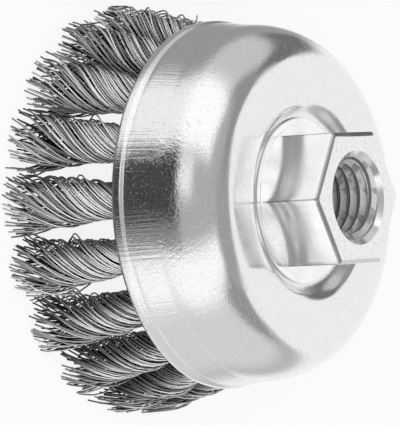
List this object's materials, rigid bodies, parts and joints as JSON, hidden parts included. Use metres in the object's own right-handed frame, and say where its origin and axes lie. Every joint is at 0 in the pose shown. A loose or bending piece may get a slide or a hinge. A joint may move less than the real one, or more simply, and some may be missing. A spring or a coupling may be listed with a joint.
{
  "type": "wire cup brush",
  "caption": "Knotted wire cup brush for an angle grinder: pressed steel cup, flanged hexagon nut and a ring of twisted wire knots.",
  "frame": {"origin": "centre of the circle of wire tips, on the plane that the brush stands on", "axes": "+Z along the spindle axis, from the wire tips to the nut; one pair of the nut's flats faces +X and -X"},
  "size_m": [0.0714, 0.0718, 0.0482],
  "materials": {
    "cup": "bright zinc plate, polished with fine scratches",
    "nut": "bright zinc plate, satin",
    "plate": "plain stamped steel",
    "washer": "plain stamped steel",
    "wire": "drawn steel wire, dark and bright"
  },
  "bodies": {
    "root": {"cup": "cup", "threaded_nut": "nut", "knot_plate": "plate", "retaining_washer": "washer", "knot_01": "wire", "knot_02": "wire", "knot_03": "wire", "knot_04": "wire", "knot_05": "wire", "knot_06": "wire", "knot_07": "wire", "knot_08": "wire", "knot_09": "wire", "knot_10": "wire", "knot_11": "wire", "knot_12": "wire", "knot_13": "wire", "knot_14": "wire", "knot_15": "wire", "knot_16": "wire", "knot_17": "wire", "knot_18": "wire"}
  },
  "joints": []
}
